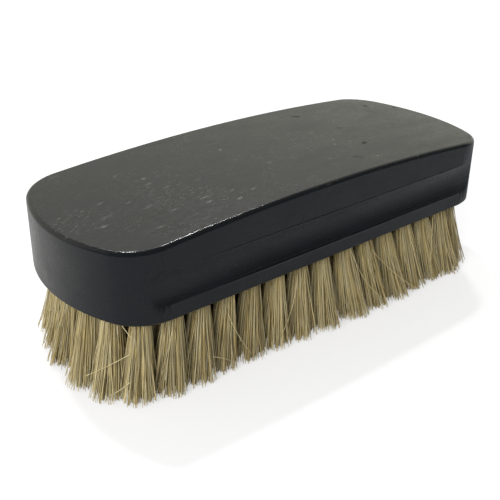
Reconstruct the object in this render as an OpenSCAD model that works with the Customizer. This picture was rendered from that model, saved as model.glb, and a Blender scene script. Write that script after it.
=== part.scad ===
// Shoe shine brush: a lacquered wooden block with rounded ends, a crowned top and a finger cove along
// each long side, set with bristle tufts that are held in blind holes by flat wire anchors.
// The brush stands on its bristle tips at z = 0, with its length along X and its width along Y.

/* [Block] */
// Length of the wooden block
block_l = 150; // [125:1:185]
// Width of the block across its straight long sides
block_w = 59.3; // [49:0.1:72]
// Height of the block at the top of its crown
block_h = 24.1; // [19:0.1:30]
// How much lower the top lies at the two ends than in the middle
crown_drop = 3.9; // [1:0.1:5]
// Radius of each rounded end, seen from above
end_r = 52; // [43:1:65]
// Radius that blends each end into the long sides
corner_r = 14.2; // [11:0.1:18]
// Round-over of the top edge
top_round = 1.3; // [0.6:0.1:2]
// Sanded break of the bottom edge
bottom_break = 0.4; // [0.2:0.1:0.8]

/* [Finger coves] */
// Width of each cove, from its upper edge to its lower edge
cove_w = 9.8; // [7:0.1:12]
// Depth of each cove below the side it is milled in
cove_d = 1.2; // [0.6:0.1:1.6]
// Height of the middle of the cove above the underside of the block
cove_z = 9.7; // [8:0.1:11.5]

/* [Holes] */
// Diameter of a tuft hole
hole_d = 5.2; // [4.2:0.1:6.4]
// Depth of a tuft hole
hole_depth = 11; // [9:0.5:14]
// Length of the drill point at the bottom of a hole
drill_point = 1.2; // [0.8:0.1:1.6]
// Distance from the side of the block to the middle of the outer tufts
edge_inset = 5.5; // [4.8:0.1:6.5]
// Distance from the end of the block to the middle of the outer tufts
end_inset = 8.2; // [5.5:0.1:9]
// Distance from one tuft to the next along a ring or row
tuft_pitch = 9; // [8.7:0.1:11]

/* [Bristles] */
// Length of the bristles below the block
bristle_l = 25.7; // [15:0.1:40]
// Locks of bristle that a tuft splits into
locks = 5; // [4:1:5]
// Gap between the packed bristles and the rim of the hole that they leave
root_gap = 0.3; // [0.2:0.05:0.6]
// Gap that is left between the tips of two neighbouring tufts
tip_gap = 1.3; // [1.2:0.1:2]
// Share by which the tips fan out lengthwise beyond the holes
fan_x = 0.09; // [0.04:0.01:0.12]
// Share by which the tips fan out sideways beyond the holes
fan_y = 0.1; // [0.08:0.01:0.2]

/* [Anchors] */
// Thickness of the flat anchor wire
wire_t = 0.4; // [0.3:0.05:0.6]
// Width of the flat anchor wire
wire_w = 2.2; // [1.6:0.1:2.8]
// How far each end of an anchor bites into the wood
bite = 0.9; // [0.5:0.1:1.2]
// Thickness of the bristles folded over an anchor
fold_t = 1.6; // [1.2:0.1:2]

/* [Fits] */
// Gap between the packed bristles and the hole round them
hole_gap = 0.05; // [0.03:0.01:0.1]
// Gap all round an anchor
wire_gap = 0.05; // [0.03:0.01:0.1]

/* [Hidden] */
$fn = 48;

// Rows of tufts across the block, and columns of tufts along it that make one node each
ROWS = 6;
COLUMNS = 15;
BLACK_LACQUER = [0.13, 0.13, 0.14];
STRAW = [0.80, 0.70, 0.50];
WIRE = [0.72, 0.73, 0.76];

// Steps along the half side, the corner arc and the half end arc of a quarter of the outline
SIDE_STEPS = 7;
CORNER_STEPS = 12;
END_STEPS = 7;
// Steps of the round-over along the top edge
ROUND_STEPS = 5;
QUARTER = SIDE_STEPS + CORNER_STEPS + END_STEPS;
OUTLINE = 4 * QUARTER;

// Degrees in a radian
RADIAN = 180 / PI;

half_l = block_l / 2;
half_w = block_w / 2;
underside_z = bristle_l;
end_x = half_l - end_r;
corner_y = half_w - corner_r;
corner_x = end_x + sqrt(pow(end_r - corner_r, 2) - pow(corner_y, 2));
end_half_angle = atan2(corner_y, corner_x - end_x);
end_shift = end_inset - edge_inset;
cove_r = (pow(cove_w / 2, 2) + pow(cove_d, 2)) / (2 * cove_d);
row_gap = 2 * (half_w - edge_inset) / (ROWS - 1);
column_w = 2 * (half_l - edge_inset) / COLUMNS;
hole_r = hole_d / 2;
root_r = hole_r - root_gap;
tip_r = (tuft_pitch - tip_gap) / 2;
wire_l = hole_d + 2 * bite;
plug_top_z = underside_z + hole_depth - hole_gap;
wire_top_z = plug_top_z - fold_t;

// Shares of its length at which a lock's rings of corners stand
LOCK_LEVELS = [0, 0.5, 1];
// How deep the locks start inside the packed root that carries them
LOCK_SINK = 0.5;
// Half angle of a lock's outer face, as a share of its sector, at the root and at the tip
ROOT_SHARE = 0.9;
TIP_SHARE = 0.84;
// Distance of a lock's inner edge from the middle of the tuft, at the root and at the tip
ROOT_CORE = 0.25;
TIP_CORE = 0.7;
// How late along its length a tuft leans out: 1 leans from the root, more bends towards the tip
LEAN_POWER = 1.4;
// The least share of the full spread that a lock's tip takes
LEAST_SPREAD = 0.9;
SPIN_SEED = 7;
SPREAD_SEED = 19;

// The block's outline, drawn in by inset. One quarter runs from the near side's middle to the right end,
// along the straight side, round the corner and along the end
function straight_part(inset) =
    [for (i = [0:SIDE_STEPS - 1]) [corner_x * i / SIDE_STEPS, -(half_w - inset)]];

function corner_part(inset) =
    [for (i = [0:CORNER_STEPS - 1])
        let (a = (90 - end_half_angle) * i / CORNER_STEPS)
        [corner_x + (corner_r - inset) * sin(a), -corner_y - (corner_r - inset) * cos(a)]];

function end_part(inset) =
    [for (i = [0:END_STEPS])
        let (a = end_half_angle * (1 - i / END_STEPS))
        [end_x + (end_r - inset) * cos(a), -(end_r - inset) * sin(a)]];

function quarter(inset) = concat(straight_part(inset), corner_part(inset), end_part(inset));

function outline(inset) =
    let (q = quarter(inset))
    concat(
        [for (i = [0:QUARTER - 1]) q[i]],
        [for (i = [QUARTER:-1:1]) [q[i][0], -q[i][1]]],
        [for (i = [0:QUARTER - 1]) [-q[i][0], -q[i][1]]],
        [for (i = [QUARTER:-1:1]) [-q[i][0], q[i][1]]]
    );

// Height of the crowned top at a place along the block
function crown(x) = underside_z + block_h - crown_drop * pow(x / half_l, 2);

function level_ring(inset, z) = [for (p = outline(inset)) [p[0], p[1], z]];

function crowned_ring(inset, drop) = [for (p = outline(inset)) [p[0], p[1], crown(p[0]) - drop]];

// One ring of the round-over, at an angle from the side (0) to the top (90)
function round_ring(a) = crowned_ring(top_round * (1 - cos(a)), top_round * (1 - sin(a)));

// Skin between two rings of the outline that lie one above the other
function band(lower) = [
    for (i = [0:OUTLINE - 1])
        let (a = lower * OUTLINE + i, b = lower * OUTLINE + (i + 1) % OUTLINE)
        each [[a + OUTLINE, b + OUTLINE, b], [a + OUTLINE, b, a]]
];

// Points where a station i lies on the near and on the far side, right (1) or left (-1) of the middle
function near_point(i, hand) = hand > 0 ? i : (OUTLINE - i) % OUTLINE;
function far_point(i, hand) = hand > 0 ? 2 * QUARTER - i : 2 * QUARTER + i;

// Skin across the block in strips from the near side to the far side, facing up (1) or down (-1)
function cap(first, facing) = [
    for (hand = [1, -1], i = [0:QUARTER - 1])
        let (
            n0 = first + near_point(i, hand),
            n1 = first + near_point(i + 1, hand),
            f0 = first + far_point(i, hand),
            f1 = first + far_point(i + 1, hand),
            strip = n1 == f1 ? [[n0, f0, n1]] : [[n0, f0, f1], [n0, f1, n1]]
        )
        each [for (t = strip) hand * facing > 0 ? t : [t[0], t[2], t[1]]]
];

module block_blank() {
    rings = concat(
        [level_ring(bottom_break, underside_z), level_ring(0, underside_z + bottom_break)],
        [for (i = [0:ROUND_STEPS]) round_ring(90 * i / ROUND_STEPS)]
    );
    top = len(rings) - 1;
    polyhedron(
        points = [for (r = rings) each r],
        faces = concat(
            cap(0, -1),
            [for (i = [0:top - 1]) each band(i)],
            cap(top * OUTLINE, 1)
        ),
        convexity = 4
    );
}

// A straight cutter along X, which runs out by itself where the corners curve away from it
module cove(side) {
    translate([-half_l, side * (half_w + cove_r - cove_d), underside_z + cove_z])
        rotate([0, 90, 0])
            cylinder(r = cove_r, h = block_l);
}

// A quarter of a ring's path, as its half width, the end of its straight part, its corner radius,
// the half angle of its end arc and the radius of its end arc. The ends are set further in than the sides
function path(inset) =
    let (
        w = half_w - inset,
        r = end_r - inset,
        c = max(corner_r - inset, 0),
        a = c > 0 ? end_half_angle : asin(w / r)
    )
    [w, (c > 0 ? corner_x : end_x + r * cos(a)) - end_shift, c, a, r];

function arc(r, a) = r * a / RADIAN;

function quarter_length(p) = p[1] + arc(p[2], 90 - p[3]) + arc(p[4], p[3]);

// Place and heading on a quarter path, a distance s on from the middle of the near side
function on_quarter(p, s) =
    let (bend = arc(p[2], 90 - p[3]))
    s <= p[1] ? [s, -p[0], 0]
    : s < p[1] + bend ?
        let (a = (s - p[1]) / p[2] * RADIAN)
        [p[1] + p[2] * sin(a), -corner_y - p[2] * cos(a), a]
    :
        let (a = p[3] - (s - p[1] - bend) / p[4] * RADIAN)
        [end_x - end_shift + p[4] * cos(a), -p[4] * sin(a), 90 - a];

// Place and heading on the whole path, from the mirror images of its quarter
function on_path(p, s) =
    let (
        q = quarter_length(p),
        n = floor(s / q),
        t = on_quarter(p, n % 2 == 0 ? s - n * q : (n + 1) * q - s)
    )
    n == 0 ? t
    : n == 1 ? [t[0], -t[1], 180 - t[2]]
    : n == 2 ? [-t[0], -t[1], 180 + t[2]]
    : [-t[0], t[1], -t[2]];

// A ring of tufts follows the outline at an even pitch, moved on by a share of a pitch to stagger it
function ring(inset, stagger) =
    let (
        p = path(inset),
        tufts = 2 * round(2 * quarter_length(p) / tuft_pitch),
        pitch = 4 * quarter_length(p) / tufts
    )
    [for (k = [0:tufts - 1]) on_path(p, (k + stagger) * pitch)];

// The two innermost rows are straight, and end where their ring would turn
function inner_rows(inset) =
    let (
        p = path(inset),
        gaps = round(2 * p[1] / tuft_pitch)
    )
    [for (side = [-1, 1], k = [0:gaps]) [p[1] * (2 * k / gaps - 1), side * p[0], 0]];

TUFTS = concat(
    ring(edge_inset, 0),
    ring(edge_inset + row_gap, 0.5),
    inner_rows(edge_inset + 2 * row_gap)
);

// Tufts are counted in columns across the block, from the left end to the right
function column_of(x) = min(COLUMNS - 1, max(0, floor(x / column_w + COLUMNS / 2)));
function column_tufts(c) = [for (i = [0:len(TUFTS) - 1]) if (column_of(TUFTS[i][0]) == c) i];

// The drilled hole, with its drill point, standing on z = 0
module bored(r, depth) {
    rotate_extrude()
        polygon([[0, 0], [r, 0], [r, depth - drill_point], [r - drill_point, depth], [0, depth]]);
}

// An anchor's flat wire lies along its ring: its ends bite between the holes, not towards the thin side
module flat_wire(gap) {
    translate([-wire_l / 2 - gap, -wire_t / 2 - gap, wire_top_z - wire_w - gap])
        cube([wire_l + 2 * gap, wire_t + 2 * gap, wire_w + 2 * gap]);
}

module at_tuft(i) {
    translate([TUFTS[i][0], TUFTS[i][1], 0])
        rotate([0, 0, TUFTS[i][2]])
            children();
}

module block() {
    color(BLACK_LACQUER)
        difference() {
            difference() {
                block_blank();
                for (side = [-1, 1]) cove(side);
            }
            for (i = [0:len(TUFTS) - 1]) {
                at_tuft(i) translate([0, 0, underside_z]) bored(hole_r, hole_depth);
                at_tuft(i) flat_wire(wire_gap);
            }
        }
}

SPIN = rands(0, 360 / locks, len(TUFTS), SPIN_SEED);
SPREAD = rands(LEAST_SPREAD, 1, len(TUFTS) * locks, SPREAD_SEED);

// The three corners of a lock at a share t of its length: its inner edge and the two edges of its outer face
function lock_ring(i, k, t) =
    let (
        c = TUFTS[i],
        lean = pow(t, LEAN_POWER),
        middle = [c[0] * (1 + fan_x * lean), c[1] * (1 + fan_y * lean)],
        turn = SPIN[i] + k * 360 / locks,
        half = 180 / locks * (ROOT_SHARE + (TIP_SHARE - ROOT_SHARE) * t),
        core = ROOT_CORE + (TIP_CORE - ROOT_CORE) * t,
        outer = root_r + (tip_r * SPREAD[i * locks + k] - root_r) * t,
        z = underside_z * (1 - t)
    )
    [
        for (e = [[core, 0], [outer, -half], [outer, half]])
            [middle[0] + e[0] * cos(turn + e[1]), middle[1] + e[0] * sin(turn + e[1]), z]
    ];

// One lock: three-sided, curving outwards from inside the packed root to a tip that is trimmed flat
module lock(i, k) {
    last = 3 * (len(LOCK_LEVELS) - 1);
    rings = [for (t = LOCK_LEVELS) [for (p = lock_ring(i, k, t)) t > 0 ? p : p + [0, 0, LOCK_SINK]]];
    polyhedron(
        points = [for (r = rings) each r],
        faces = concat(
            [[0, 2, 1], [last, last + 1, last + 2]],
            [for (r = [0:3:last - 1], e = [0:2])
                let (a = r + e, b = r + (e + 1) % 3)
                each [[a, b, b + 3], [a, b + 3, a + 3]]]
        ),
        convexity = 2
    );
}

// The packed root in its hole, with the slot where the bristles fold over the anchor
module tuft(i) {
    at_tuft(i)
        difference() {
            translate([0, 0, underside_z]) bored(hole_r - hole_gap, plug_top_z - underside_z);
            flat_wire(wire_gap);
        }
    for (k = [0:locks - 1]) lock(i, k);
}

module tufts(column) {
    color(STRAW)
        for (i = column_tufts(column)) union() tuft(i);
}

module anchors(column) {
    color(WIRE)
        for (i = column_tufts(column)) at_tuft(i) flat_wire(0);
}

block();
tufts(0);  // tufts_01
tufts(1);  // tufts_02
tufts(2);  // tufts_03
tufts(3);  // tufts_04
tufts(4);  // tufts_05
tufts(5);  // tufts_06
tufts(6);  // tufts_07
tufts(7);  // tufts_08
tufts(8);  // tufts_09
tufts(9);  // tufts_10
tufts(10);  // tufts_11
tufts(11);  // tufts_12
tufts(12);  // tufts_13
tufts(13);  // tufts_14
tufts(14);  // tufts_15
anchors(0);  // anchors_01
anchors(1);  // anchors_02
anchors(2);  // anchors_03
anchors(3);  // anchors_04
anchors(4);  // anchors_05
anchors(5);  // anchors_06
anchors(6);  // anchors_07
anchors(7);  // anchors_08
anchors(8);  // anchors_09
anchors(9);  // anchors_10
anchors(10);  // anchors_11
anchors(11);  // anchors_12
anchors(12);  // anchors_13
anchors(13);  // anchors_14
anchors(14);  // anchors_15
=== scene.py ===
import math

import bmesh
import bpy
import numpy as np
from bpy.props import FloatProperty, FloatVectorProperty, IntProperty, PointerProperty
from mathutils import Matrix, Vector


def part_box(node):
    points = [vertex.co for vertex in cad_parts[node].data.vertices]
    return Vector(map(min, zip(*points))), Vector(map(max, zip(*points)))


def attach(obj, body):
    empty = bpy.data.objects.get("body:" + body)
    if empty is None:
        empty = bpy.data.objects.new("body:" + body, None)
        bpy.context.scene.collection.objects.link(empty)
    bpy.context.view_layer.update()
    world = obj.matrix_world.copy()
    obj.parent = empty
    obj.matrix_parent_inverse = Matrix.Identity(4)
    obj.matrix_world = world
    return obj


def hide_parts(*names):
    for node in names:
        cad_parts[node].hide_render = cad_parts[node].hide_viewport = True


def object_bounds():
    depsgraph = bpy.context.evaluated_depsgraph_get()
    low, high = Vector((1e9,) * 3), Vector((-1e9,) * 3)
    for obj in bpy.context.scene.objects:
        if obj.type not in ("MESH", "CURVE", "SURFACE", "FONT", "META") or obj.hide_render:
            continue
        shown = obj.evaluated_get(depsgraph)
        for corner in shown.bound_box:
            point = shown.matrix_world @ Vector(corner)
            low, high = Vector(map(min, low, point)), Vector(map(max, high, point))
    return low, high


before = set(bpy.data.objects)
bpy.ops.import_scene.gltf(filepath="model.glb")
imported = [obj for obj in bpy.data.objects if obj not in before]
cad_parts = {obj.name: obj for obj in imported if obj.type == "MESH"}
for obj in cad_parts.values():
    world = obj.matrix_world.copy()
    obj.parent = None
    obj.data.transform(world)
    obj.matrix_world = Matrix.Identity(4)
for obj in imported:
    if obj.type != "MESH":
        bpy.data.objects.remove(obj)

bl_info = {
    "name": "Shoe Shine Brush",
    "version": (1, 0, 0),
    "blender": (4, 5, 0),
    "location": "View3D > Sidebar > Shine Brush",
    "description": "Builds the lacquered block, the bristle tufts and the stage of a shoe shine brush",
    "category": "Add Mesh",
}

CAD_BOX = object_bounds()
MM = 0.001
BLOCK_LOW, BLOCK_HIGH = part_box("block")
BLOCK_MIDDLE = (BLOCK_LOW + BLOCK_HIGH) / 2
COLUMNS = sorted(name[-2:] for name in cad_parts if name.startswith("tufts_"))


# Properties

class BlockSettings(bpy.types.PropertyGroup):
    lacquer_color: FloatVectorProperty(
        name="Lacquer colour", description="Colour of the black lacquer under its gloss",
        subtype="COLOR", default=(0.0026, 0.0030, 0.0038), min=0, max=1)
    # Also the colour towards which the painted highlight line under each cove edge is lightened.
    worn_and_highlight_color: FloatVectorProperty(
        name="Worn colour", description="Colour of the lacquer where marks have dulled it",
        subtype="COLOR", default=(0.30, 0.30, 0.28), min=0, max=1)
    roughness: FloatProperty(
        name="Roughness", description="Roughness of the lacquer between its marks",
        default=0.30, min=0.05, max=0.8)
    edge_roughness: FloatProperty(
        name="Edge roughness", description="Roughness of the top edges, which the hand has polished",
        default=0.17, min=0.05, max=0.8)
    grain: FloatProperty(
        name="Grain", description="How deep the lengthwise grain shows through the lacquer",
        default=0.05 * MM, min=0, max=0.5 * MM, precision=6, unit="LENGTH")
    line_heights: FloatVectorProperty(
        name="Cove lines", description="Heights of a finger cove's two edges above the underside",
        size=2, default=(4.8 * MM, 14.6 * MM), precision=5, unit="LENGTH")
    sharp_angle: FloatProperty(
        name="Sharp angle", description="Edges that turn by more than this stay crisp",
        default=math.radians(22), min=0, max=math.pi, unit="ROTATION")


class BristleSettings(bpy.types.PropertyGroup):
    hairs: IntProperty(
        name="Hairs", description="Hairs in each tuft", default=400, min=40, max=420)
    hair_d: FloatProperty(
        name="Hair diameter", description="Diameter of a hair at its root",
        default=0.24 * MM, min=0.1 * MM, max=0.8 * MM, precision=5, unit="LENGTH")
    tip_taper: FloatProperty(
        name="Taper", description="Diameter at a hair's tip as a share of that at its root",
        default=0.78, min=0.2, max=1)
    root_r: FloatProperty(
        name="Root radius", description="Radius of a tuft where it leaves its hole",
        default=2.35 * MM, min=1 * MM, max=3 * MM, precision=5, unit="LENGTH")
    tip_r: FloatProperty(
        name="Tip radius", description="Radius of a tuft at its tips",
        default=5.1 * MM, min=2 * MM, max=8 * MM, precision=5, unit="LENGTH")
    left_fan: FloatVectorProperty(
        name="Left fan",
        description="Share by which the left half's tips spread, and more at the end's middle",
        size=2, default=(0.038, 0.045), min=0, max=0.3)
    right_fan: FloatProperty(
        name="Right fan", description="Share by which the tips of the right half spread to the right",
        default=0.09, min=0, max=0.3)
    far_fan: FloatProperty(
        name="Far fan", description="Share by which the tips of the far side spread outwards",
        default=0.12, min=0, max=0.3)
    bent: FloatVectorProperty(
        name="Bent", description="How far use has bent the near side's right half to the right and outwards",
        size=2, default=(5.2 * MM, 2.4 * MM), precision=5, unit="LENGTH")
    end_turn: FloatProperty(
        name="End turn", description="How much less the tips of the right end spread than their neighbours",
        default=2.4 * MM, min=0, max=6 * MM, precision=5, unit="LENGTH")
    uneven: FloatProperty(
        name="Uneven", description="How far the shortest tufts end above the floor",
        default=0.4 * MM, min=0, max=5 * MM, precision=5, unit="LENGTH")
    domed: FloatProperty(
        name="Domed", description="How far a tuft's outer hairs end above its middle ones",
        default=0.2 * MM, min=0, max=5 * MM, precision=5, unit="LENGTH")
    ragged: FloatProperty(
        name="Ragged", description="How far a hair may end above its neighbours",
        default=0.5 * MM, min=0, max=5 * MM, precision=5, unit="LENGTH")
    crossing: FloatProperty(
        name="Crossing", description="Share of the hairs that cross their tuft",
        default=0.20, min=0, max=1)
    rings: IntProperty(
        name="Rings", description="Rings of points along a hair", default=5, min=3, max=12)
    root_color: FloatVectorProperty(
        name="Root colour", description="Colour of the bristles inside a tuft",
        subtype="COLOR", default=(0.15, 0.105, 0.047), min=0, max=1)
    straw_color: FloatVectorProperty(
        name="Straw colour", description="Colour of most of the bristles",
        subtype="COLOR", default=(0.41, 0.322, 0.138), min=0, max=1)
    pale_color: FloatVectorProperty(
        name="Pale colour", description="Colour of the palest bristles",
        subtype="COLOR", default=(0.71, 0.605, 0.335), min=0, max=1)


class StageSettings(bpy.types.PropertyGroup):
    target: FloatVectorProperty(
        name="Target", description="Point that the camera looks at",
        default=(-5.56 * MM, 1.90 * MM, 16.53 * MM), subtype="TRANSLATION", unit="LENGTH")
    azimuth: FloatProperty(
        name="Azimuth", description="Turn of the camera round the brush, from its near side",
        default=math.radians(-39.7266), unit="ROTATION")
    elevation: FloatProperty(
        name="Elevation", description="Height of the camera above the horizon",
        default=math.radians(27.5586), unit="ROTATION")
    distance: FloatProperty(
        name="Distance", description="Distance from the camera to its target",
        default=271.5 * MM, unit="LENGTH")
    roll: FloatProperty(
        name="Roll", description="Turn of the camera about its line of sight",
        default=math.radians(0.7794), unit="ROTATION")
    lens: FloatProperty(
        name="Lens", description="Focal length in millimetres", default=60.98, min=10, max=200)
    floor_color: FloatVectorProperty(
        name="Floor colour", description="Colour of the floor as the camera sees it",
        subtype="COLOR", default=(0.95, 0.95, 0.95), min=0, max=1)
    bounce_color: FloatVectorProperty(
        name="Bounce colour", description="Colour of the light that the floor sends back",
        subtype="COLOR", default=(0.48, 0.48, 0.48), min=0, max=1)
    bright_sky: FloatVectorProperty(
        name="Bright side", description="Reflection of the studio behind the brush",
        subtype="COLOR", default=(0.70, 0.695, 0.61), min=0, max=2)
    dark_sky: FloatVectorProperty(
        name="Dark side", description="Reflection of the studio in front of the brush and above it",
        subtype="COLOR", default=(0.135, 0.140, 0.150), min=0, max=2)
    bright_floor: FloatVectorProperty(
        name="Bright floor", description="Reflection of the floor behind the brush",
        subtype="COLOR", default=(0.56, 0.56, 0.55), min=0, max=1)
    dark_floor: FloatVectorProperty(
        name="Dark floor", description="Reflection of the floor in front of the brush",
        subtype="COLOR", default=(0.33, 0.34, 0.36), min=0, max=1)
    ambient: FloatProperty(
        name="Ambient", description="Strength of the even light from all round",
        default=0.55, min=0, max=2)


# Node helpers

MIX_SOCKETS = {"FLOAT": (2, 3, 0), "RGBA": (6, 7, 2)}  # where a Mix node keeps A, B and its result


def new_material(name):
    """A material with its node tree and its shader."""
    material = bpy.data.materials.new(name)
    material.use_nodes = True
    tree = material.node_tree
    return material, tree, tree.nodes["Principled BSDF"]


def add(tree, kind, **values):
    """A new node with the given settings."""
    node = tree.nodes.new(kind)
    for key, value in values.items():
        setattr(node, key, value)
    return node


def fill(tree, socket, value):
    """Gives a socket a link, a number or a colour."""
    if isinstance(value, bpy.types.NodeSocket):
        tree.links.new(value, socket)
    elif isinstance(value, (int, float)):
        socket.default_value = value
    else:
        socket.default_value = (*value, 1)


def separate(tree, vector):
    """The X, Y and Z of a vector."""
    node = add(tree, "ShaderNodeSeparateXYZ")
    tree.links.new(vector, node.inputs["Vector"])
    return node.outputs


def noise(tree, vector, scale=1.0, detail=3.0, roughness=0.55):
    """Soft random patches, from 0 to 1."""
    node = add(tree, "ShaderNodeTexNoise")
    for key, value in (("Scale", scale), ("Detail", detail), ("Roughness", roughness)):
        node.inputs[key].default_value = value
    tree.links.new(vector, node.inputs["Vector"])
    return node.outputs["Fac"]


def stretched(tree, vector, size, turn=(0, 0, 0), place=(0, 0, 0)):
    """Coordinates that give a pattern of size 1 the given size, turn and place."""
    node = add(tree, "ShaderNodeMapping", vector_type="TEXTURE")
    for key, value in (("Location", place), ("Rotation", turn), ("Scale", size)):
        node.inputs[key].default_value = value
    tree.links.new(vector, node.inputs["Vector"])
    return node.outputs["Vector"]


def lengthwise(tree, vector, length, width, turn=0.0):
    """Coordinates that draw a pattern out along the block."""
    return stretched(tree, vector, (length, width, width), (0, 0, turn))


def map_range(tree, value, low, high, to_low=0.0, to_high=1.0, smooth=False):
    """A value brought from one range to another, and held at its ends."""
    node = add(tree, "ShaderNodeMapRange")
    if smooth:
        node.interpolation_type = "SMOOTHSTEP"
    for key, number in (("From Min", low), ("From Max", high), ("To Min", to_low), ("To Max", to_high)):
        node.inputs[key].default_value = number
    tree.links.new(value, node.inputs["Value"])
    return node.outputs["Result"]


def maths(tree, operation, first, *others):
    """Numbers combined from left to right, by one node for each after the first."""
    total = first
    for value in others:
        node = add(tree, "ShaderNodeMath", operation=operation)
        fill(tree, node.inputs[0], total)
        fill(tree, node.inputs[1], value)
        total = node.outputs["Value"]
    return total


def distance_from(tree, value, middle):
    """How far a value is from a middle, on either side."""
    node = add(tree, "ShaderNodeMath", operation="ABSOLUTE")
    tree.links.new(maths(tree, "SUBTRACT", value, middle), node.inputs[0])
    return node.outputs["Value"]


def mix(tree, factor, first, second, kind="RGBA", blend="MIX"):
    """Two colours, or two numbers where the kind is FLOAT, mixed by a factor."""
    node = add(tree, "ShaderNodeMix", data_type=kind, blend_type=blend)
    a, b, result = MIX_SOCKETS[kind]
    for key, value in (("Factor", factor), (a, first), (b, second)):
        fill(tree, node.inputs[key], value)
    return node.outputs[result]


def bump(tree, shader, height, distance):
    """Relief from a height, as deep as the distance."""
    node = add(tree, "ShaderNodeBump")
    node.inputs["Distance"].default_value = distance
    tree.links.new(height, node.inputs["Height"])
    tree.links.new(node.outputs["Normal"], shader.inputs["Normal"])


# Black lacquer

# Near-black colour of the line of dirt and painted shade along each cove edge.
DIRT_AND_SHADE_COLOR = (0.0008, 0.0008, 0.0009)
GLOSS = 0.47  # the lacquer's specular level where its nodes aren't read
COVE_LEFT = (-56 * MM, -22 * MM)  # where a cove's marks begin on the left and are at their full strength
COVE_RIGHT = (52 * MM, 61 * MM)  # where they begin to fade on the right and have gone
# A line of dirt and painted shade along each cove edge.
DIRT_AND_SHADE_LINE = (0.0, 0.26 * MM)  # place of a line beside a cove's edge, and half its width
# A painted highlight line half a millimetre under each cove edge.
PAINTED_HIGHLIGHT_LINE = (-0.5 * MM, 0.22 * MM)
MARK_LEVEL = BLOCK_HIGH.z - 1 * MM
MARK_REACH = 8 * MM  # how far a mark of the top reaches up and down
LIGHT_MARKS = [  # place in millimetres, turn in degrees, half length and half width in millimetres, strength
    ((-11.6, 9.5), 40, 1.3, 0.6, 0.9), ((-30, -4), 10, 1.6, 0.4, 0.5), ((-53.8, -20.4), 5, 2.6, 0.45, 0.5),
    ((-28.6, -21.3), 15, 1.5, 0.6, 0.8), ((-35.5, -14.5), 8, 2.2, 0.45, 0.9),
    ((-36, -17.5), 12, 1.4, 0.6, 0.9), ((20, -8), 60, 0.8, 0.5, 1.0),
    ((23, -4.5), 40, 0.7, 0.5, 0.9), ((24, -23), -35, 1.6, 0.4, 1.0),
    ((10, -16), 20, 1.0, 0.5, 0.6), ((8, -20), -30, 2.2, 0.4, 0.5), ((-61, -6), 0, 2.2, 0.5, 0.4),
    ((-58, 2), 10, 1.8, 0.5, 0.4), ((-46, 14), 30, 1.4, 0.5, 0.45), ((-39, -2), 5, 1.8, 0.5, 0.5),
    ((-41, 7), 20, 1.2, 0.6, 0.6), ((-42, 3), 0, 1.6, 0.5, 0.55), ((-52, -3), 10, 1.6, 0.5, 0.5),
    ((-50, -9), 5, 2.4, 0.45, 0.55), ((-46, -15), 8, 1.8, 0.5, 0.5), ((-64, -10), 0, 2.0, 0.8, 0.5),
    ((-32, -12), 15, 1.4, 0.4, 0.5), ((-27, -16), 10, 1.0, 0.5, 0.6), ((-22, -19), 12, 1.6, 0.4, 0.6),
]
DARK_MARKS = [
    ((61, 18), 70, 1.6, 1.3, 0.7), ((29, 20), -40, 2.4, 1.5, 0.6), ((29, -12), 30, 1.8, 1.2, 0.8),
    ((33, 3), -30, 1.8, 1.2, 0.4), ((70, 12), 60, 1.4, 1.2, 0.5), ((18, -20), -40, 3.2, 1.6, 0.4),
]


def lacquer_wear(tree, place):
    """Height of the lengthwise grain, and masks of the pores, the haze and the scuffs with their dust."""
    swerve = maths(tree, "SUBTRACT", noise(tree, place, 14.0, 2.0), 0.5)
    sideways = add(tree, "ShaderNodeCombineXYZ")
    tree.links.new(maths(tree, "MULTIPLY", swerve, 5 * MM), sideways.inputs["Y"])
    moved = add(tree, "ShaderNodeVectorMath", operation="ADD")
    tree.links.new(place, moved.inputs[0])
    tree.links.new(sideways.outputs["Vector"], moved.inputs[1])
    place = moved.outputs["Vector"]
    grain = noise(tree, lengthwise(tree, place, 26 * MM, 0.7 * MM), detail=5.0, roughness=0.65)
    pores = noise(tree, lengthwise(tree, place, 3.2 * MM, 0.30 * MM), detail=2.0)
    pores = map_range(tree, pores, 0.50, 0.72, smooth=True)
    haze = noise(tree, lengthwise(tree, place, 16 * MM, 7 * MM), detail=4.0, roughness=0.6)
    haze = map_range(tree, haze, 0.36, 0.66)
    lines = noise(tree, lengthwise(tree, place, 1.7 * MM, 0.42 * MM, turn=0.2), detail=2.0)
    rubbed_places = noise(tree, place, 48.0, 2.0)
    scuffs = maths(tree, "MULTIPLY", map_range(tree, lines, 0.60, 0.76, 0.0, 0.7),
                   map_range(tree, rubbed_places, 0.46, 0.60, smooth=True))
    specks = add(tree, "ShaderNodeTexVoronoi", feature="F1")
    specks.inputs["Scale"].default_value = 330.0
    tree.links.new(place, specks.inputs["Vector"])
    dust = maths(tree, "MULTIPLY", map_range(tree, specks.outputs["Distance"], 0.10, 0.17, 1.0, 0.0),
                 map_range(tree, specks.outputs["Color"], 0.90, 0.94, 0.0, 0.6))
    return grain, pores, haze, maths(tree, "MAXIMUM", scuffs, dust)


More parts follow.
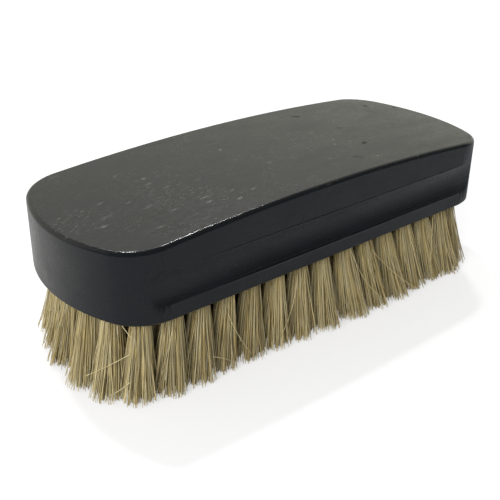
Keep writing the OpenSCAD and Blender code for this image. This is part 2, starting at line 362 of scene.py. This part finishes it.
def cove_lines(settings, tree, place):
    """Masks of the dirt and painted shade along a cove's edges and of the painted highlight line under each,
    and the cove's gloss with painted shade in its lower part and painted sheen in its upper part.
    """
    parts = separate(tree, place)
    height = parts["Z"]
    run = maths(tree, "MULTIPLY", map_range(tree, parts["X"], *COVE_LEFT, smooth=True),
                map_range(tree, parts["X"], *COVE_RIGHT, 1.0, 0.0, smooth=True))
    broken = map_range(tree, noise(tree, lengthwise(tree, place, 18 * MM, 9 * MM)), 0.30, 0.55, 0.45, 1.0)
    low, high = (BLOCK_LOW.z + edge for edge in settings.line_heights)
    masks = []
    # The first mask is a line of dirt and painted shade on each edge, the second a painted highlight line
    # under it.
    for shift, half in (DIRT_AND_SHADE_LINE, PAINTED_HIGHLIGHT_LINE):
        lines = [map_range(tree, distance_from(tree, height, edge + shift), 0.35 * half, half, 1.0, 0.0)
                 for edge in (low, high)]
        masks.append(maths(tree, "MULTIPLY", maths(tree, "MAXIMUM", *lines), run, broken))
    grime_and_shade, painted_highlight = masks
    inside = maths(tree, "MULTIPLY", map_range(tree, height, low, low + 1 * MM, smooth=True),
                   map_range(tree, height, high - 0.6 * MM, high, 1.0, 0.0, smooth=True))
    # Painted shade and sheen: the cove's gloss drops in its lower part and rises a little in its upper part.
    change = map_range(tree, height, low + 2 * MM, low + 8 * MM, -0.42, 0.16, smooth=True)
    cove_shade_and_sheen = maths(tree, "ADD", maths(tree, "MULTIPLY", change, inside, run), 1.0)
    return grime_and_shade, painted_highlight, cove_shade_and_sheen


def marks_mask(tree, place, marks):
    """The strongest, at each point, of the top's listed marks, which are long soft spots."""
    spots = []
    for (x, y), turn, length, width, strength in marks:
        near = stretched(tree, place, (length * MM, width * MM, MARK_REACH),
                         (0, 0, math.radians(turn)), (x * MM, y * MM, MARK_LEVEL))
        distance = add(tree, "ShaderNodeVectorMath", operation="LENGTH")
        tree.links.new(near, distance.inputs[0])
        spot = map_range(tree, distance.outputs["Value"], 0.3, 1.0, 1.0, 0.0, smooth=True)
        spots.append(maths(tree, "MULTIPLY", spot, strength))
    return maths(tree, "MAXIMUM", *spots)


def black_lacquer(settings):
    """Lacquer with the grain under it, its haze, scuffs and marks, dirt and painted shade along the coves, a
    painted highlight under each cove edge, and painted shade and sheen in the coves' gloss.
    """
    material, tree, shader = new_material("black lacquer")
    place = add(tree, "ShaderNodeTexCoord").outputs["Object"]
    grain, pores, haze, scuffs = lacquer_wear(tree, place)
    grime_and_shade, painted_highlight, cove_shade_and_sheen = cove_lines(settings, tree, place)
    upward = separate(tree, add(tree, "ShaderNodeNewGeometry").outputs["Normal"])["Z"]
    scuffs = maths(tree, "MULTIPLY", scuffs, map_range(tree, upward, 0.5, 0.95, 0.12, 1.0))
    patchy = map_range(tree, noise(tree, place, 1100.0, 2.0), 0.38, 0.62, 0.3, 1.0)
    scratches = maths(tree, "MULTIPLY", marks_mask(tree, place, LIGHT_MARKS), patchy)
    light = maths(tree, "MAXIMUM", scratches, scuffs)
    dark = marks_mask(tree, place, DARK_MARKS)

    base = mix(tree, haze, settings.lacquer_color, [1.9 * part for part in settings.lacquer_color])
    base = mix(tree, maths(tree, "MULTIPLY", light, 0.5), base, settings.worn_and_highlight_color)
    # Painted highlight: a faint light line under each cove edge.
    base = mix(tree, maths(tree, "MULTIPLY", painted_highlight, 0.05), base, settings.worn_and_highlight_color)
    # Dirt and painted shade along the cove edges.
    base = mix(tree, grime_and_shade, base, DIRT_AND_SHADE_COLOR)
    tree.links.new(base, shader.inputs["Base Color"])

    marked = maths(tree, "MULTIPLY", maths(tree, "ADD", light, dark), 0.25)
    rough = maths(tree, "ADD", settings.roughness - 0.05, maths(tree, "MULTIPLY", pores, 0.12),
                  maths(tree, "MULTIPLY", haze, 0.07), marked)
    edge = add(tree, "ShaderNodeAttribute", attribute_name="edge").outputs["Fac"]
    rough = mix(tree, edge, rough, settings.edge_roughness, kind="FLOAT")
    tree.links.new(rough, shader.inputs["Roughness"])

    # The export drops the link to the specular level and keeps the socket's own value.
    dull = map_range(tree, haze, 0.0, 1.0, 0.52, 0.42)
    # Gloss is taken away by the dark marks and by the line of dirt and painted shade.
    gloss_kept = map_range(tree, maths(tree, "MAXIMUM", dark, grime_and_shade), 0.0, 1.0, 1.0, 0.15)
    level = shader.inputs["Specular IOR Level"]
    level.default_value = GLOSS
    # The cove's painted shade and sheen act through its gloss.
    tree.links.new(maths(tree, "MULTIPLY", dull, gloss_kept, cove_shade_and_sheen), level)

    relief = maths(tree, "ADD", maths(tree, "MULTIPLY", grain, 0.6), maths(tree, "MULTIPLY", pores, -0.25))
    bump(tree, shader, relief, settings.grain)
    return material


# Bristle and wire

BRISTLE = "natural bristle"
FADED_TIP = (0.45, 0.43, 0.31)
STRAW_TONE = 0.45  # the tone that has the straw colour, between the root colour at 0 and the pale one at 1
HAIR_MAP = "OFBake"  # name of the map that carries each hair's tone across and its way from root to tip along


def natural_bristle(settings):
    """Bristle coloured by each hair's tone and by the way along it, from its root to its faded tip."""
    material, tree, shader = new_material(BRISTLE)
    spot = separate(tree, add(tree, "ShaderNodeUVMap", uv_map=HAIR_MAP).outputs["UV"])
    tone = add(tree, "ShaderNodeValToRGB")
    tree.links.new(spot["X"], tone.inputs["Fac"])
    ramp = tone.color_ramp.elements
    ramp[0].color = (*settings.root_color, 1)
    ramp[1].color = (*settings.pale_color, 1)
    ramp.new(STRAW_TONE).color = (*settings.straw_color, 1)
    in_shade = map_range(tree, spot["Y"], 0.0, 0.4, 0.74, 1.05)
    shaded = mix(tree, 1.0, tone.outputs["Color"], in_shade, blend="MULTIPLY")
    faded = mix(tree, map_range(tree, spot["Y"], 0.72, 1.0, 0.0, 0.45), shaded, FADED_TIP)
    tree.links.new(faded, shader.inputs["Base Color"])
    shader.inputs["Roughness"].default_value = 0.55
    shader.inputs["Specular IOR Level"].default_value = 0.25
    return material


def anchor_wire():
    """Drawn wire with fine lines along it."""
    material, tree, shader = new_material("anchor wire")
    place = add(tree, "ShaderNodeTexCoord").outputs["Object"]
    drawn = noise(tree, stretched(tree, place, (2 * MM, 2 * MM, 0.05 * MM)))
    tree.links.new(mix(tree, drawn, (0.52, 0.51, 0.48), (0.70, 0.69, 0.66)), shader.inputs["Base Color"])
    shader.inputs["Metallic"].default_value = 1.0
    tree.links.new(map_range(tree, drawn, 0.0, 1.0, 0.25, 0.45), shader.inputs["Roughness"])
    bump(tree, shader, drawn, 0.01 * MM)
    return material


# Pieces

BLOCK_WELD = 0.002 * MM  # points of the CAD mesh nearer than this become one
ANCHOR_WELD = 0.01 * MM
EDGE_TILT = (0.12, 0.965)  # between these, the upward share of the normal marks the top's rounded edge
EDGE_LEVEL = BLOCK_MIDDLE.z + 3 * MM  # the top's rounded edge lies above this


def new_piece(name, mesh, material, nodes=()):
    """A piece of the brush that takes a material slot and may replace CAD nodes."""
    piece = bpy.data.objects.new(name, mesh)
    bpy.context.scene.collection.objects.link(piece)
    mesh.materials.clear()
    mesh.materials.append(material)
    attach(piece, "root")
    if nodes:
        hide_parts(*nodes)
    return piece


class BRUSH_OT_block(bpy.types.Operator):
    """Builds the lacquered wooden block"""
    bl_idname = "brush.block"
    bl_label = "Lacquered block"

    def execute(self, context):
        settings = context.scene.brush_block
        bm = bmesh.new()
        bm.from_mesh(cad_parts["block"].data)
        bmesh.ops.remove_doubles(bm, verts=bm.verts, dist=BLOCK_WELD)
        bm.normal_update()
        edge = bm.verts.layers.float.new("edge")
        steepest, flattest = EDGE_TILT
        for vert in bm.verts:
            vert[edge] = float(vert.co.z > EDGE_LEVEL and steepest < vert.normal.z < flattest)
        mesh = bpy.data.meshes.new("lacquered_block")
        bm.to_mesh(mesh)
        bm.free()
        mesh.shade_smooth()
        mesh.set_sharp_from_angle(angle=settings.sharp_angle)
        piece = new_piece("lacquered_block", mesh, black_lacquer(settings), ["block"])
        even = piece.modifiers.new("even shading", "WEIGHTED_NORMAL")
        even.keep_sharp = True
        return {"FINISHED"}


# Bristles

HAIR_SIDES = 4
HAIR_SHARE = 1 / 64  # how much of the map's width a hair takes round it
CLUMPS = 11  # bundles of hairs that lean together in a tuft
CLUMP_STEP = 2.4  # turn in radians from one clump's middle to the next
MOST_PULL = 0.5  # most that a hair's tip moves towards its clump's middle
WIDEST = 1.2  # farthest that a tip may stand out, as a share of the tip radius
ROOT_DEPTH = 1.2 * MM  # how deep the hairs start in their hole
FLOOR_GAP = 0.1 * MM  # least height of a tip above the floor
OUTER_ROW = 24.1 * MM  # from the block's middle line to the outermost tufts
USED_HALF = (6 * MM, 6 * MM)  # along the block, where the bent half begins, and how softly
END_TUFTS = (62 * MM, 2 * MM)  # where the tufts of an end begin, and how softly
WORN_STRETCH = (6 * MM, 20 * MM)  # middle and half length of the near side's most worn stretch
LEFT_END = (-7 * MM, 10 * MM)  # across the block, middle and half width of the left end's widest fan
DRAWN_IN = 0.7 * MM  # how far the near side's unworn tips stand back towards the middle


def tuft_places(column):
    """The middle of each tuft of a column, from the anchor that holds it."""
    bm = bmesh.new()
    bm.from_mesh(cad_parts["anchors_" + column].data)
    bmesh.ops.remove_doubles(bm, verts=bm.verts, dist=ANCHOR_WELD)
    waiting = set(bm.verts)
    places = []
    for first in bm.verts:
        if first not in waiting:
            continue
        waiting.remove(first)
        anchor, reached = [], [first]
        while reached:
            vert = reached.pop()
            anchor.append(vert.co.copy())
            for edge in vert.link_edges:
                other = edge.other_vert(vert)
                if other in waiting:
                    waiting.remove(other)
                    reached.append(other)
        places.append(sum(anchor, Vector()) / len(anchor))
    bm.free()
    return sorted(places, key=lambda place: (place.y, place.x))


def soft_step(value, middle, width):
    """A rise from 0 to 1 about the middle."""
    return 1 / (1 + math.exp(-(value - middle) / width))


def bell(value, middle, width):
    """1 at the middle, falling to 0 on both sides."""
    return math.exp(-((value - middle) / width) ** 2)


def tuft_lean(settings, place):
    """How far a tuft's tips lie from under its hole, along the block and across it."""
    near = max(0.0, -place.y / OUTER_ROW)
    used = soft_step(place.x, *USED_HALF)
    if place.x < 0:
        end = (place.x / CAD_BOX[0].x) ** 2 * bell(place.y, *LEFT_END)
        along = place.x * (settings.left_fan[0] + settings.left_fan[1] * end)
    else:
        along = place.x * settings.right_fan * (1 - min(near, 1))
    along += settings.bent[0] * near * used - settings.end_turn * soft_step(place.x, *END_TUFTS)
    if place.y > 0:
        across = place.y * settings.far_fan
    else:
        worn = bell(place.x, *WORN_STRETCH)
        across = near * (DRAWN_IN - settings.bent[1] * (used + worn))
        across -= settings.bent[1] * soft_step(-place.x, *END_TUFTS)
    return np.array([along, across])


def sunflower(count, step, turn=0.0):
    """Points spread evenly over a disc of radius 1, each turned by a step from the last."""
    angle = np.arange(count) * step + turn
    out = np.sqrt((np.arange(count) + 0.5) / count)
    return np.stack([np.cos(angle) * out, np.sin(angle) * out], 1)


def hair_spread(settings, rng):
    """Where a tuft's hairs start and end in a disc of radius 1, and the clump of each."""
    count = settings.hairs
    golden_angle = math.pi * (3 - math.sqrt(5))
    start = sunflower(count, golden_angle, rng.uniform(0, 2 * math.pi))
    start += rng.normal(0, 0.03, (count, 2))
    middles = sunflower(CLUMPS, CLUMP_STEP)
    middles = middles @ np.array(Matrix.Rotation(rng.uniform(0, 2 * math.pi), 2))
    clump = np.linalg.norm(start[:, None] - middles[None], axis=2).argmin(1)
    pull = rng.uniform(0.0, MOST_PULL, count)[:, None]
    goal = start * (1 - pull) + middles[clump] * pull + rng.normal(0, 0.08, (count, 2))
    crossing = rng.random(count) < settings.crossing
    goal[crossing] += rng.normal(0, 0.5, (crossing.sum(), 2))
    reach = np.linalg.norm(goal, axis=1)
    far = reach > WIDEST
    goal[far] *= WIDEST / reach[far, None]
    return start, goal, clump


def hair_paths(settings, place, rng):
    """Points along each hair of one tuft, an array of hairs, rings and coordinates, and its clumps."""
    start, goal, clump = hair_spread(settings, rng)
    count = settings.hairs
    middle = np.array([place.x, place.y])
    tip = middle + tuft_lean(settings, place) + rng.normal(0, 0.25 * MM, 2) + goal * settings.tip_r
    root = middle + start * settings.root_r
    low = FLOOR_GAP + settings.uneven * rng.random() + settings.domed * (goal ** 2).sum(1)
    low += settings.ragged * rng.beta(1.1, 3.5, count)
    high = BLOCK_LOW.z + ROOT_DEPTH
    along = np.linspace(0, 1, settings.rings)
    share = along[None, :, None]
    bow = rng.normal(0, 0.22 * MM, (count, 2))[:, None]
    wave = rng.normal(0, 0.07 * MM, (count, 2))[:, None]
    power = rng.uniform(1.0, 1.35, count)[:, None, None]
    flat = root[:, None] + (tip - root)[:, None] * share ** power
    flat = flat + bow * np.sin(math.pi * share) + wave * np.sin(2.4 * math.pi * share) * share
    drop = high + (low - high)[:, None] * along
    return np.concatenate([flat, drop[:, :, None]], 2), clump


def hair_tones(settings, place, clump, rng):
    """How pale each hair of one tuft is: alike in a tuft, more alike in a clump, paler at the left end."""
    tuft = rng.uniform(0.42, 0.54) + 0.08 * soft_step(-place.x, 55 * MM, 5 * MM)
    bundles = rng.normal(0, 0.06, CLUMPS)[clump]
    return tuft + bundles + rng.normal(0, 0.17, settings.hairs)


def hair_mesh(name, paths, radius, taper, tones):
    """One mesh of closed hairs, mapped by tone across and from root to tip along."""
    hairs, rings = paths.shape[:2]
    curve = bpy.data.curves.new(name, "CURVE")
    curve.dimensions = "3D"
    curve.bevel_depth = radius
    curve.bevel_resolution = 0
    curve.use_fill_caps = True
    sizes = np.linspace(1, taper, rings)
    for path in paths:
        spline = curve.splines.new("POLY")
        spline.points.add(rings - 1)
        spline.points.foreach_set("co", np.c_[path, np.ones(rings)].ravel())
        spline.points.foreach_set("radius", sizes)
    helper = bpy.data.objects.new(name, curve)
    mesh = bpy.data.meshes.new_from_object(helper)
    bpy.data.objects.remove(helper)
    bpy.data.curves.remove(curve)
    mesh.name = name
    for layer in list(mesh.uv_layers):
        mesh.uv_layers.remove(layer)
    per_hair = len(mesh.vertices) // hairs
    corner = np.zeros(len(mesh.loops), int)
    mesh.loops.foreach_get("vertex_index", corner)
    side = corner % HAIR_SIDES
    ring = (corner % per_hair) // HAIR_SIDES
    across = tones[corner // per_hair] * (1 - HAIR_SHARE) + HAIR_SHARE * side / (HAIR_SIDES - 1)
    spots = np.stack([across, ring / (rings - 1)], 1)
    layer = mesh.uv_layers.new(name=HAIR_MAP)
    layer.data.foreach_set("uv", spots.ravel().astype(np.float32))
    return mesh


class BRUSH_OT_bristles(bpy.types.Operator):
    """Builds the bristles, one piece for each column of tufts"""
    bl_idname = "brush.bristles"
    bl_label = "Bristle tufts"

    def execute(self, context):
        settings = context.scene.brush_bristles
        material = natural_bristle(settings)
        for column in COLUMNS:
            rng = np.random.default_rng(int(column))
            paths, tones = [], []
            for place in tuft_places(column):
                hairs, clump = hair_paths(settings, place, rng)
                paths.append(hairs)
                tones.append(hair_tones(settings, place, clump, rng))
            name = "bristles_" + column
            mesh = hair_mesh(name, np.concatenate(paths), settings.hair_d / 2, settings.tip_taper,
                             np.clip(np.concatenate(tones), 0, 1))
            new_piece(name, mesh, material, ["tufts_" + column])
        return {"FINISHED"}


STRAYS = [  # root, middle and tip in millimetres; each lies against the tufts it crosses
    ((-66.3, -15.5, 25.6), (-67.0, -20.5, 23.4), (-65.9, -23.3, 20.8)),
    ((-65.4, -22.0, 14.9), (-70.6, -18.0, 10.7), (-74.8, -13.6, 7.3)),
    ((-66.4, -23.5, 7.7), (-69.4, -22.2, 4.9), (-71.4, -19.8, 2.9)),
    ((-37.6, -27.7, 19.2), (-35.1, -27.9, 11.7), (-29.5, -28.3, 3.0)),
    ((-43.8, -28.7, 8.3), (-40.4, -29.1, 6.8), (-36.8, -28.7, 3.8)),
    ((19.2, -27.5, 20.7), (28.1, -31.0, 9.2), (35.7, -33.2, 3.9)),
    ((9.5, -27.2, 24.7), (12.3, -29.6, 14.2), (18.8, -31.7, 6.8)),
    ((-11.5, -27.0, 22.7), (-12.8, -28.2, 13.0), (-18.9, -29.4, 6.2)),
    ((48.6, -27.0, 23.2), (47.3, -28.9, 13.7), (46.0, -30.4, 6.8)),
    ((-54.7, -26.2, 21.9), (-57.4, -27.1, 13.9), (-58.7, -27.4, 6.7)),
]
STRAY_RINGS = 9
STRAY_TONES = (0.97, 0.62)  # of the first stray and of the last


class BRUSH_OT_strays(bpy.types.Operator):
    """Builds the few hairs that have worked loose and cross the tufts"""
    bl_idname = "brush.strays"
    bl_label = "Stray hairs"

    def execute(self, context):
        settings = context.scene.brush_bristles
        t = np.linspace(0, 1, STRAY_RINGS)[:, None]
        paths = [np.array(root) * (1 - t) ** 2 + 2 * np.array(middle) * t * (1 - t) + np.array(tip) * t ** 2
                 for root, middle, tip in STRAYS]
        mesh = hair_mesh("stray_hairs", np.array(paths) * MM, settings.hair_d / 2, settings.tip_taper,
                         np.linspace(*STRAY_TONES, len(paths)))
        new_piece("stray_hairs", mesh, bpy.data.materials[BRISTLE])
        return {"FINISHED"}


class BRUSH_OT_anchors(bpy.types.Operator):
    """Gives the wire anchors their finish"""
    bl_idname = "brush.anchors"
    bl_label = "Anchor wire"

    def execute(self, context):
        material = anchor_wire()
        for column in COLUMNS:
            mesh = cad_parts["anchors_" + column].data
            mesh.materials.clear()
            mesh.materials.append(material)
        return {"FINISHED"}


# Stage

FLOOR_REACH = 3.0  # from the middle of the floor to each side, in metres
FLOOR_CHANGE = (-20 * MM, 60 * MM)  # where the mirrored floor turns from dark in front to bright behind
BEHIND = (0.30, 0.95, 0.0)  # way to the bright part of the studio
LAMPS = [  # name, place, sides in metres, watts, way that the first side lies, whether it is mirrored
    ("back_lamp", (0.30, 0.305, 0.74), (0.10, 0.03), 2.0, (0.16, -0.02, -0.08), True),
    ("rim_lamp", (0.0, 0.40, 0.775), (0.07, 0.04), 2.0, (0.05, -0.07, 0.05), True),
    ("front_lamp", (-0.92, -0.42, 0.58), (0.7, 0.5), 11.5, (1, 0, 0), False),
]


def studio_lamp(name, place, sides, power, long_way, mirrored):
    """A rectangular lamp that faces the brush."""
    lamp = bpy.data.lights.new(name, "AREA")
    lamp.shape = "RECTANGLE"
    lamp.size, lamp.size_y = sides
    lamp.energy = power
    back = (Vector(place) - BLOCK_MIDDLE).normalized()
    side = Vector(long_way)
    side = (side - back * side.dot(back)).normalized()
    turn = Matrix((side, back.cross(side), back)).transposed()
    lamp_object = bpy.data.objects.new(name, lamp)
    lamp_object.matrix_world = Matrix.Translation(place) @ turn.to_4x4()
    lamp_object.visible_glossy = mirrored
    bpy.context.scene.collection.objects.link(lamp_object)


def pale_floor(settings):
    """White for the camera, darker in its bounce and its reflections, and clear from below."""
    material, tree, shader = new_material("pale floor")
    shader.inputs["Roughness"].default_value = 0.9
    shader.inputs["Specular IOR Level"].default_value = 0.0
    rays = add(tree, "ShaderNodeLightPath").outputs
    seen = maths(tree, "MAXIMUM", rays["Is Camera Ray"], rays["Is Transmission Ray"])
    geometry = add(tree, "ShaderNodeNewGeometry").outputs
    behind = map_range(tree, separate(tree, geometry["Position"])["Y"], *FLOOR_CHANGE, smooth=True)
    mirrored = mix(tree, behind, settings.dark_floor, settings.bright_floor)
    sent = mix(tree, rays["Is Glossy Ray"], settings.bounce_color, mirrored)
    tree.links.new(mix(tree, seen, sent, settings.floor_color), shader.inputs["Base Color"])
    glow = add(tree, "ShaderNodeEmission")
    fill(tree, glow.inputs["Color"], (1, 1, 1))
    fill(tree, glow.inputs["Strength"], 1.0)
    whiten = add(tree, "ShaderNodeMixShader")
    tree.links.new(maths(tree, "MULTIPLY", seen, 0.5), whiten.inputs["Fac"])
    tree.links.new(shader.outputs["BSDF"], whiten.inputs[1])
    tree.links.new(glow.outputs["Emission"], whiten.inputs[2])
    clear = add(tree, "ShaderNodeBsdfTransparent")
    one_sided = add(tree, "ShaderNodeMixShader")
    tree.links.new(geometry["Backfacing"], one_sided.inputs["Fac"])
    tree.links.new(whiten.outputs["Shader"], one_sided.inputs[1])
    tree.links.new(clear.outputs["BSDF"], one_sided.inputs[2])
    tree.links.new(one_sided.outputs["Shader"], tree.nodes["Material Output"].inputs["Surface"])
    return material


def lay_floor(settings):
    """The floor under the brush, which isn't part of it."""
    mesh = bpy.data.meshes.new("floor")
    bm = bmesh.new()
    bmesh.ops.create_grid(bm, x_segments=1, y_segments=1, size=FLOOR_REACH)
    bm.to_mesh(mesh)
    bm.free()
    mesh.materials.append(pale_floor(settings))
    floor = bpy.data.objects.new("floor", mesh)
    bpy.context.scene.collection.objects.link(floor)


def studio_world(settings):
    """White behind the brush for the camera, bright behind and dark in front for reflections."""
    world = bpy.data.worlds.new("studio")
    bpy.context.scene.world = world
    world.use_nodes = True
    tree = world.node_tree
    tree.nodes.clear()
    rays = add(tree, "ShaderNodeLightPath").outputs
    way = add(tree, "ShaderNodeTexCoord").outputs["Generated"]
    facing = add(tree, "ShaderNodeVectorMath", operation="DOT_PRODUCT")
    tree.links.new(way, facing.inputs[0])
    facing.inputs[1].default_value = BEHIND
    behind = map_range(tree, facing.outputs["Value"], -0.15, 0.40, smooth=True)
    low = map_range(tree, separate(tree, way)["Z"], 0.66, 0.84, 1.0, 0.0, smooth=True)
    mirrored = mix(tree, maths(tree, "MULTIPLY", behind, low), settings.dark_sky, settings.bright_sky)
    shade = mix(tree, rays["Is Glossy Ray"], (settings.ambient,) * 3, mirrored)
    seen = maths(tree, "MAXIMUM", rays["Is Camera Ray"], rays["Is Transmission Ray"])
    light = add(tree, "ShaderNodeBackground")
    tree.links.new(mix(tree, seen, shade, (1.0, 1.0, 1.0)), light.inputs["Color"])
    out = add(tree, "ShaderNodeOutputWorld")
    tree.links.new(light.outputs["Background"], out.inputs["Surface"])


def place_camera(settings):
    """The camera at the photograph's view."""
    camera = bpy.data.cameras.new("camera")
    camera.lens = settings.lens
    camera.clip_start = 10 * MM
    back = Vector((math.sin(settings.azimuth) * math.cos(settings.elevation),
                   -math.cos(settings.azimuth) * math.cos(settings.elevation),
                   math.sin(settings.elevation)))
    turn = (-back).to_track_quat("-Z", "Y").to_matrix() @ Matrix.Rotation(settings.roll, 3, "Z")
    place = Vector(settings.target) + back * settings.distance
    camera_object = bpy.data.objects.new("camera", camera)
    camera_object.matrix_world = Matrix.Translation(place) @ turn.to_4x4()
    bpy.context.scene.collection.objects.link(camera_object)
    bpy.context.scene.camera = camera_object


class BRUSH_OT_stage(bpy.types.Operator):
    """Builds the floor, the light and the camera"""
    bl_idname = "brush.stage"
    bl_label = "Stage"

    def execute(self, context):
        settings = context.scene.brush_stage
        lay_floor(settings)
        studio_world(settings)
        for lamp in LAMPS:
            studio_lamp(*lamp)
        place_camera(settings)
        context.scene.view_settings.view_transform = "Standard"
        return {"FINISHED"}


# Panel and registration

class BRUSH_PT_panel(bpy.types.Panel):
    """Lists the brush's sizes and steps"""
    bl_idname = "BRUSH_PT_panel"
    bl_label = "Shine Brush"
    bl_space_type = "VIEW_3D"
    bl_region_type = "UI"
    bl_category = "Shine Brush"

    def draw(self, context):
        for group in GROUPS:
            settings = getattr(context.scene, group)
            for key in settings.__annotations__:
                self.layout.prop(settings, key)
        for step in STEPS:
            self.layout.operator(step.bl_idname)


GROUPS = {
    "brush_block": BlockSettings,
    "brush_bristles": BristleSettings,
    "brush_stage": StageSettings,
}
STEPS = [BRUSH_OT_block, BRUSH_OT_bristles, BRUSH_OT_strays, BRUSH_OT_anchors, BRUSH_OT_stage]
CLASSES = [*GROUPS.values(), *STEPS, BRUSH_PT_panel]


def register():
    for cls in CLASSES:
        bpy.utils.register_class(cls)
    for name, cls in GROUPS.items():
        setattr(bpy.types.Scene, name, PointerProperty(type=cls))


def unregister():
    for name in GROUPS:
        delattr(bpy.types.Scene, name)
    for cls in reversed(CLASSES):
        bpy.utils.unregister_class(cls)


def main():
    register()
    bpy.ops.brush.block()
    bpy.ops.brush.bristles()
    bpy.ops.brush.strays()
    bpy.ops.brush.anchors()
    bpy.ops.brush.stage()


if __name__ == "__main__":
    main()
